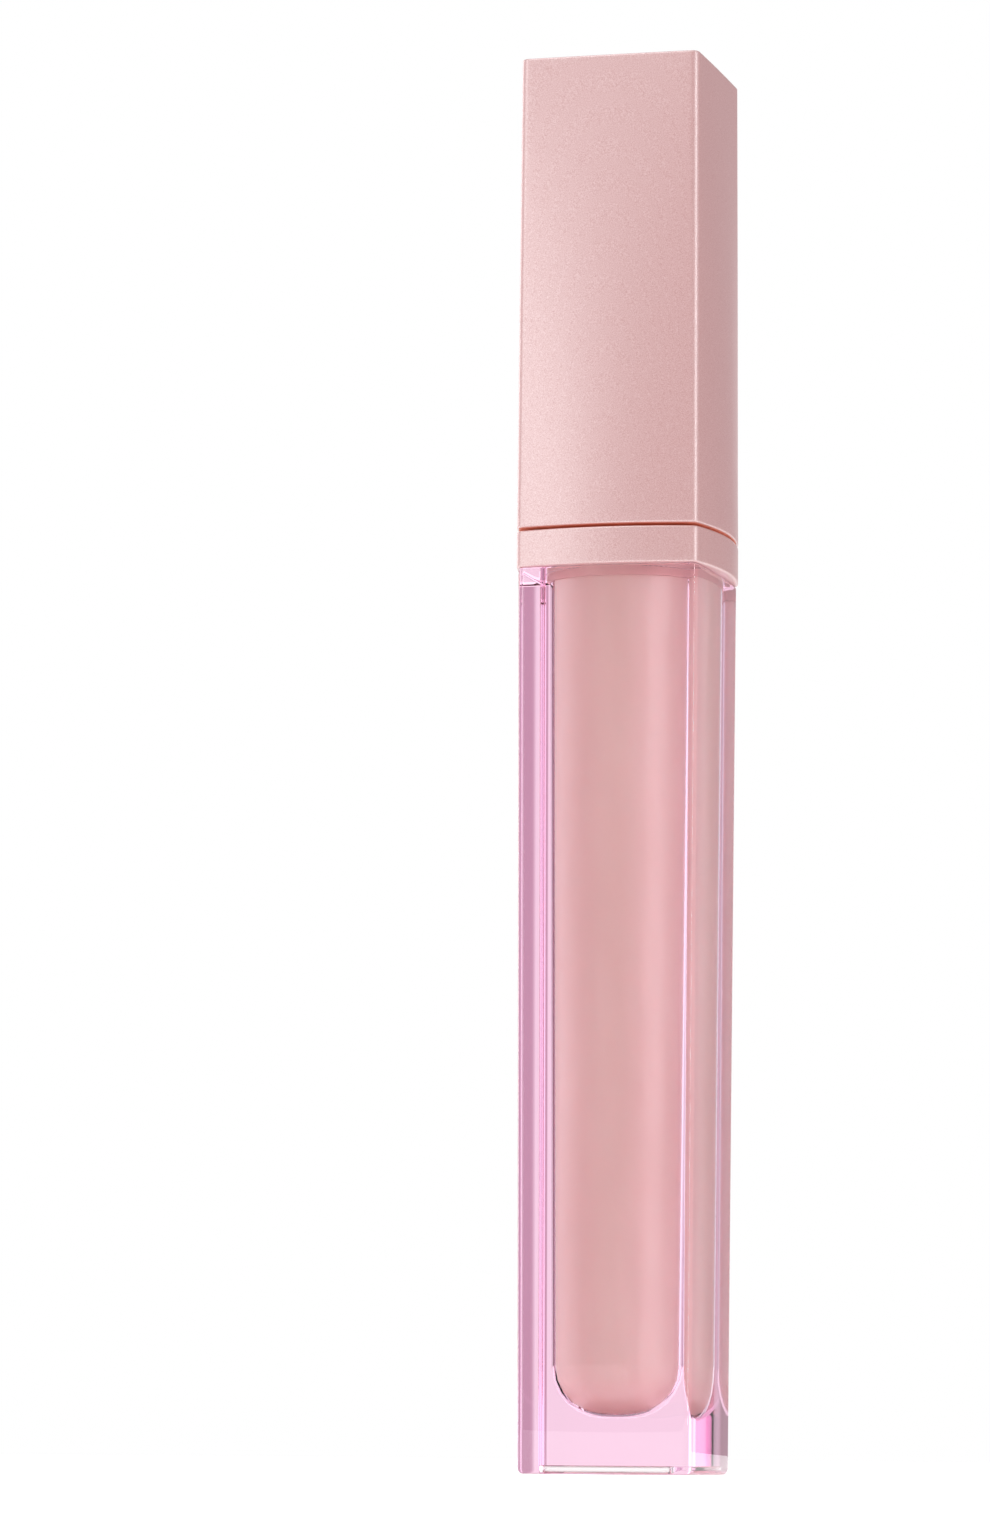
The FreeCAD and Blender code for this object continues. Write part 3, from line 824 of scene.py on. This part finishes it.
def compass_bearing(tree):
    """The bearing a world ray points to, as 0 to 1 over -180 to 180 degrees."""
    direction = ray_direction(tree)
    forward = add(tree, "ShaderNodeMath", operation="MULTIPLY")
    forward.inputs[1].default_value = -1
    tree.links.new(direction["Y"], forward.inputs[0])
    bearing = add(tree, "ShaderNodeMath", operation="ARCTAN2")
    tree.links.new(direction["X"], bearing.inputs[0])
    tree.links.new(forward.outputs["Value"], bearing.inputs[1])
    share = add(tree, "ShaderNodeMapRange")
    share.inputs["From Min"].default_value = -math.pi
    share.inputs["From Max"].default_value = math.pi
    tree.links.new(bearing.outputs["Value"], share.inputs["Value"])
    return share.outputs["Result"]


def height_share(tree, start, whole):
    """How far a world ray's slope has gone from start, as 0, to whole, as 1."""
    share = add(tree, "ShaderNodeMapRange")
    share.inputs["From Min"].default_value = start
    share.inputs["From Max"].default_value = whole
    tree.links.new(ray_direction(tree)["Z"], share.inputs["Value"])
    return share.outputs["Result"]


def plain_colour(tree, level):
    """A grey of this level, as a node's output."""
    grey = add(tree, "ShaderNodeRGB")
    grey.outputs["Color"].default_value = (level, level, level, 1)
    return grey.outputs["Color"]


def choose(tree, factor, first, second):
    """Pass on the first colour, or the second where the factor is 1."""
    pick = add(tree, "ShaderNodeMix", data_type="RGBA")
    tree.links.new(factor, pick.inputs["Factor"])
    tree.links.new(first, pick.inputs["A"])
    tree.links.new(second, pick.inputs["B"])
    return pick.outputs["Result"]


def make_world():
    """White behind and to the left, grey in front, and a dark flag behind to the right."""
    world = bpy.data.worlds.new("studio")
    bpy.context.scene.world = world
    world.use_nodes = True
    tree = world.node_tree
    bearing = compass_bearing(tree)
    paint_sees, base_shows = (
        ramp(tree, bearing, [((degrees + 180) / 360, colour) for degrees, colour in table])
        for table in (SURROUND, SURROUND_THROUGH)
    )
    white = plain_colour(tree, 1.0)
    down = height_share(tree, FLOOR_FROM, FLOOR_FULL)
    base_shows = choose(tree, down, base_shows, white)
    ray = add(tree, "ShaderNodeLightPath")
    through = add(tree, "ShaderNodeMath", operation="GREATER_THAN")
    through.inputs[1].default_value = 0.5
    tree.links.new(ray.outputs["Transmission Depth"], through.inputs[0])
    walls = choose(tree, through.outputs["Value"], paint_sees, base_shows)
    up = height_share(tree, CEILING_FROM, CEILING_FULL)
    around = choose(tree, up, walls, plain_colour(tree, CEILING_LEVEL))
    backdrop = choose(tree, ray.outputs["Is Camera Ray"], around, white)
    tree.links.new(backdrop, tree.nodes["Background"].inputs["Color"])


def make_lamp(name, bearing, elevation, width, height, power):
    """A softbox that faces the middle of the tube. Bearing 0 is in front.

    The clear base shows the studio's surround instead of the lamps themselves.
    """
    light = bpy.data.lights.new(name, "AREA")
    light.shape = "RECTANGLE"
    light.size = width * MM
    light.size_y = height * MM
    light.energy = power
    lamp = bpy.data.objects.new(name, light)
    turn, rise = math.radians(bearing), math.radians(elevation)
    level = math.cos(rise)
    away = Vector((math.sin(turn) * level, -math.cos(turn) * level, math.sin(rise)))
    target = Vector((0, 0, CAP_TOP * MM / 2))
    lamp.location = target + away * LAMP_DISTANCE * MM
    lamp.rotation_euler = away.to_track_quat("Z", "Y").to_euler()
    lamp.visible_transmission = False
    bpy.context.scene.collection.objects.link(lamp)


def make_camera():
    """Low and close to the floor, tilted up, with the tube right of the middle."""
    heading = CAMERA_BEARING + CAMERA_YAW
    level = math.cos(CAMERA_PITCH)
    forward = Vector(
        (-math.sin(heading) * level, math.cos(heading) * level, math.sin(CAMERA_PITCH))
    )
    right = Vector((math.cos(heading), math.sin(heading), 0))
    up = right.cross(forward)
    tilted_right = right * math.cos(CAMERA_ROLL) + up * math.sin(CAMERA_ROLL)
    tilted_up = up * math.cos(CAMERA_ROLL) - right * math.sin(CAMERA_ROLL)
    away = CAMERA_DISTANCE * MM
    place = Vector(
        (away * math.sin(CAMERA_BEARING), -away * math.cos(CAMERA_BEARING), CAMERA_HEIGHT * MM)
    )
    axes = Matrix((tilted_right, tilted_up, -forward)).transposed().to_4x4()
    camera = bpy.data.cameras.new("camera")
    camera.lens = CAMERA_LENS
    camera.clip_start = 10 * MM
    holder = bpy.data.objects.new("camera", camera)
    holder.matrix_world = Matrix.Translation(place) @ axes
    bpy.context.scene.collection.objects.link(holder)
    bpy.context.scene.camera = holder


# ---------------------------------------------------------------- build

def main():
    """Build the pieces, give the kept ones their looks, and set up the studio."""
    pearl = make_pearl_pink()
    # The rims in the cap's gap get a painted orange glow in place of the light that bounces
    # between them.
    gap_glow = make_painted_gap_glow()
    make_base_shell(make_clear_lilac())
    make_gloss(make_gloss_material())
    make_collar(pearl, gap_glow)
    make_cap_shell(pearl, gap_glow)
    make_top_plate(make_champagne())
    keep_node("base_label", make_paper())
    keep_node("cap_weight", make_steel())
    for node, look in PLASTICS.items():
        keep_node(node, make_plastic(*look))
    flock = make_flock()
    keep_node("tip_flock", flock)
    make_flock_fibres(flock)
    make_floor()
    make_world()
    for name, settings in LAMPS.items():
        make_lamp(name, *settings)
    make_camera()
    bpy.context.scene.view_settings.view_transform = "Standard"


main()
